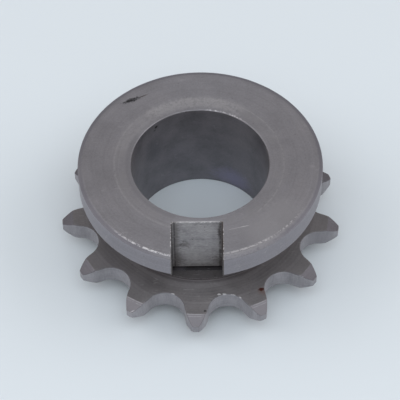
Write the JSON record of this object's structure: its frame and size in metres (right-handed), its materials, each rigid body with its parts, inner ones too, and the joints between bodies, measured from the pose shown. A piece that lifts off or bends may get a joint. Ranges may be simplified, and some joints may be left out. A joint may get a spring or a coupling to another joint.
{
  "type": "chain sprocket",
  "caption": "One-piece roller chain sprocket with a plain bore, a short neck and a wide collar that has one slot milled through it.",
  "frame": {"origin": "on the bore axis, at the lower face of the boss that the sprocket stands on", "axes": "+Z along the bore axis from the boss to the collar; the slot in the collar opens towards -Y"},
  "size_m": [0.0576, 0.0575, 0.0229],
  "materials": {
    "machined_steel": "turned and milled bare steel, satin, with light handling marks"
  },
  "bodies": {
    "root": {"sprocket": "machined_steel"}
  },
  "joints": []
}
